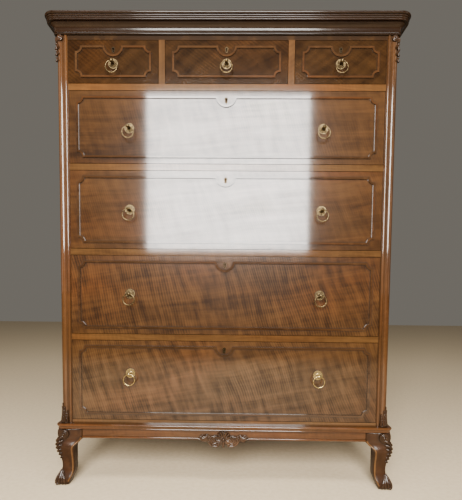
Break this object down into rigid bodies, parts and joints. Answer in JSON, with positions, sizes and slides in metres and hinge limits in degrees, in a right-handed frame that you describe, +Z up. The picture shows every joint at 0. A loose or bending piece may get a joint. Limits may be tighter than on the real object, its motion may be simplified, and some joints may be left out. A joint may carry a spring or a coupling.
{
  "type": "tall chest of drawers",
  "caption": "Tall walnut chest of drawers with small top drawers over long graduated drawers, ring pulls, moulded cornice, corner posts and short cabriole legs.",
  "frame": {"origin": "on the floor under the middle of the chest", "axes": "+Z up, drawers open towards -Y, +X to the viewer's right"},
  "size_m": [1.196, 0.57, 1.576],
  "materials": {
    "walnut": "French-polished walnut",
    "figured_walnut": "polished figured walnut veneer",
    "carved_walnut": "polished walnut, dark in the hollows",
    "secondary_oak": "unfinished oak",
    "drawer_oak": "sanded oak",
    "aged_brass": "aged, rubbed bright on the high spots",
    "lock_brass": "drawn brass, dull"
  },
  "bodies": {
    "case": {"side_panel_left": "walnut", "side_panel_right": "walnut", "corner_post_left": "walnut", "corner_post_right": "walnut", "post_carving_left": "carved_walnut", "post_carving_right": "carved_walnut", "cornice": "walnut", "top_board": "walnut", "front_rails": "walnut", "drawer_dividers": "walnut", "drawer_runners": "secondary_oak", "dust_boards": "secondary_oak", "back_boards": "secondary_oak", "base_moulding": "walnut", "apron": "walnut", "apron_carving": "carved_walnut", "leg_front_left": "carved_walnut", "leg_front_right": "carved_walnut", "leg_rear_left": "walnut", "leg_rear_right": "walnut"},
    "small_left_drawer": {"small_left_front": "figured_walnut", "small_left_box": "drawer_oak", "small_left_fittings": "aged_brass"},
    "small_left_lock_bolt": {"small_left_bolt": "lock_brass"},
    "small_left_pull": {"small_left_ring": "aged_brass"},
    "small_centre_drawer": {"small_centre_front": "figured_walnut", "small_centre_box": "drawer_oak", "small_centre_fittings": "aged_brass"},
    "small_centre_lock_bolt": {"small_centre_bolt": "lock_brass"},
    "small_centre_pull": {"small_centre_ring": "aged_brass"},
    "small_right_drawer": {"small_right_front": "figured_walnut", "small_right_box": "drawer_oak", "small_right_fittings": "aged_brass"},
    "small_right_lock_bolt": {"small_right_bolt": "lock_brass"},
    "small_right_pull": {"small_right_ring": "aged_brass"},
    "long_1_drawer": {"long_1_front": "figured_walnut", "long_1_box": "drawer_oak", "long_1_fittings": "aged_brass"},
    "long_1_lock_bolt": {"long_1_bolt": "lock_brass"},
    "long_1_pull_left": {"long_1_ring_left": "aged_brass"},
    "long_1_pull_right": {"long_1_ring_right": "aged_brass"},
    "long_2_drawer": {"long_2_front": "figured_walnut", "long_2_box": "drawer_oak", "long_2_fittings": "aged_brass"},
    "long_2_lock_bolt": {"long_2_bolt": "lock_brass"},
    "long_2_pull_left": {"long_2_ring_left": "aged_brass"},
    "long_2_pull_right": {"long_2_ring_right": "aged_brass"},
    "long_3_drawer": {"long_3_front": "figured_walnut", "long_3_box": "drawer_oak", "long_3_fittings": "aged_brass"},
    "long_3_lock_bolt": {"long_3_bolt": "lock_brass"},
    "long_3_pull_left": {"long_3_ring_left": "aged_brass"},
    "long_3_pull_right": {"long_3_ring_right": "aged_brass"},
    "long_4_drawer": {"long_4_front": "figured_walnut", "long_4_box": "drawer_oak", "long_4_fittings": "aged_brass"},
    "long_4_lock_bolt": {"long_4_bolt": "lock_brass"},
    "long_4_pull_left": {"long_4_ring_left": "aged_brass"},
    "long_4_pull_right": {"long_4_ring_right": "aged_brass"}
  },
  "joints": [
    {"name": "small_left_slide", "type": "slide", "parent": "case", "child": "small_left_drawer", "axis": [0, -1, 0], "range_m": [0, 0.38]},
    {"name": "small_left_bolt_throw", "type": "slide", "parent": "small_left_drawer", "child": "small_left_lock_bolt", "axis": [0, 0, 1], "range_m": [0, 0.008]},
    {"name": "small_left_ring_swing", "type": "hinge", "parent": "small_left_drawer", "child": "small_left_pull", "pos_m": [-0.3745, -0.274, 1.425], "axis": [-1, 0, 0], "range_deg": [-35, 110]},
    {"name": "small_centre_slide", "type": "slide", "parent": "case", "child": "small_centre_drawer", "axis": [0, -1, 0], "range_m": [0, 0.38]},
    {"name": "small_centre_bolt_throw", "type": "slide", "parent": "small_centre_drawer", "child": "small_centre_lock_bolt", "axis": [0, 0, 1], "range_m": [0, 0.008]},
    {"name": "small_centre_ring_swing", "type": "hinge", "parent": "small_centre_drawer", "child": "small_centre_pull", "pos_m": [0, -0.274, 1.425], "axis": [-1, 0, 0], "range_deg": [-35, 110]},
    {"name": "small_right_slide", "type": "slide", "parent": "case", "child": "small_right_drawer", "axis": [0, -1, 0], "range_m": [0, 0.38]},
    {"name": "small_right_bolt_throw", "type": "slide", "parent": "small_right_drawer", "child": "small_right_lock_bolt", "axis": [0, 0, 1], "range_m": [0, 0.008]},
    {"name": "small_right_ring_swing", "type": "hinge", "parent": "small_right_drawer", "child": "small_right_pull", "pos_m": [0.3745, -0.274, 1.425], "axis": [-1, 0, 0], "range_deg": [-35, 110]},
    {"name": "long_1_slide", "type": "slide", "parent": "case", "child": "long_1_drawer", "axis": [0, -1, 0], "range_m": [0, 0.38]},
    {"name": "long_1_bolt_throw", "type": "slide", "parent": "long_1_drawer", "child": "long_1_lock_bolt", "axis": [0, 0, 1], "range_m": [0, 0.008]},
    {"name": "long_1_ring_left_swing", "type": "hinge", "parent": "long_1_drawer", "child": "long_1_pull_left", "pos_m": [-0.322, -0.274, 1.2175], "axis": [-1, 0, 0], "range_deg": [-35, 110]},
    {"name": "long_1_ring_right_swing", "type": "hinge", "parent": "long_1_drawer", "child": "long_1_pull_right", "pos_m": [0.322, -0.274, 1.2175], "axis": [-1, 0, 0], "range_deg": [-35, 110]},
    {"name": "long_2_slide", "type": "slide", "parent": "case", "child": "long_2_drawer", "axis": [0, -1, 0], "range_m": [0, 0.38]},
    {"name": "long_2_bolt_throw", "type": "slide", "parent": "long_2_drawer", "child": "long_2_lock_bolt", "axis": [0, 0, 1], "range_m": [0, 0.008]},
    {"name": "long_2_ring_left_swing", "type": "hinge", "parent": "long_2_drawer", "child": "long_2_pull_left", "pos_m": [-0.322, -0.274, 0.95], "axis": [-1, 0, 0], "range_deg": [-35, 110]},
    {"name": "long_2_ring_right_swing", "type": "hinge", "parent": "long_2_drawer", "child": "long_2_pull_right", "pos_m": [0.322, -0.274, 0.95], "axis": [-1, 0, 0], "range_deg": [-35, 110]},
    {"name": "long_3_slide", "type": "slide", "parent": "case", "child": "long_3_drawer", "axis": [0, -1, 0], "range_m": [0, 0.38]},
    {"name": "long_3_bolt_throw", "type": "slide", "parent": "long_3_drawer", "child": "long_3_lock_bolt", "axis": [0, 0, 1], "range_m": [0, 0.008]},
    {"name": "long_3_ring_left_swing", "type": "hinge", "parent": "long_3_drawer", "child": "long_3_pull_left", "pos_m": [-0.322, -0.274, 0.6675], "axis": [-1, 0, 0], "range_deg": [-35, 110]},
    {"name": "long_3_ring_right_swing", "type": "hinge", "parent": "long_3_drawer", "child": "long_3_pull_right", "pos_m": [0.322, -0.274, 0.6675], "axis": [-1, 0, 0], "range_deg": [-35, 110]},
    {"name": "long_4_slide", "type": "slide", "parent": "case", "child": "long_4_drawer", "axis": [0, -1, 0], "range_m": [0, 0.38]},
    {"name": "long_4_bolt_throw", "type": "slide", "parent": "long_4_drawer", "child": "long_4_lock_bolt", "axis": [0, 0, 1], "range_m": [0, 0.008]},
    {"name": "long_4_ring_left_swing", "type": "hinge", "parent": "long_4_drawer", "child": "long_4_pull_left", "pos_m": [-0.322, -0.274, 0.394], "axis": [-1, 0, 0], "range_deg": [-35, 110]},
    {"name": "long_4_ring_right_swing", "type": "hinge", "parent": "long_4_drawer", "child": "long_4_pull_right", "pos_m": [0.322, -0.274, 0.394], "axis": [-1, 0, 0], "range_deg": [-35, 110]}
  ]
}
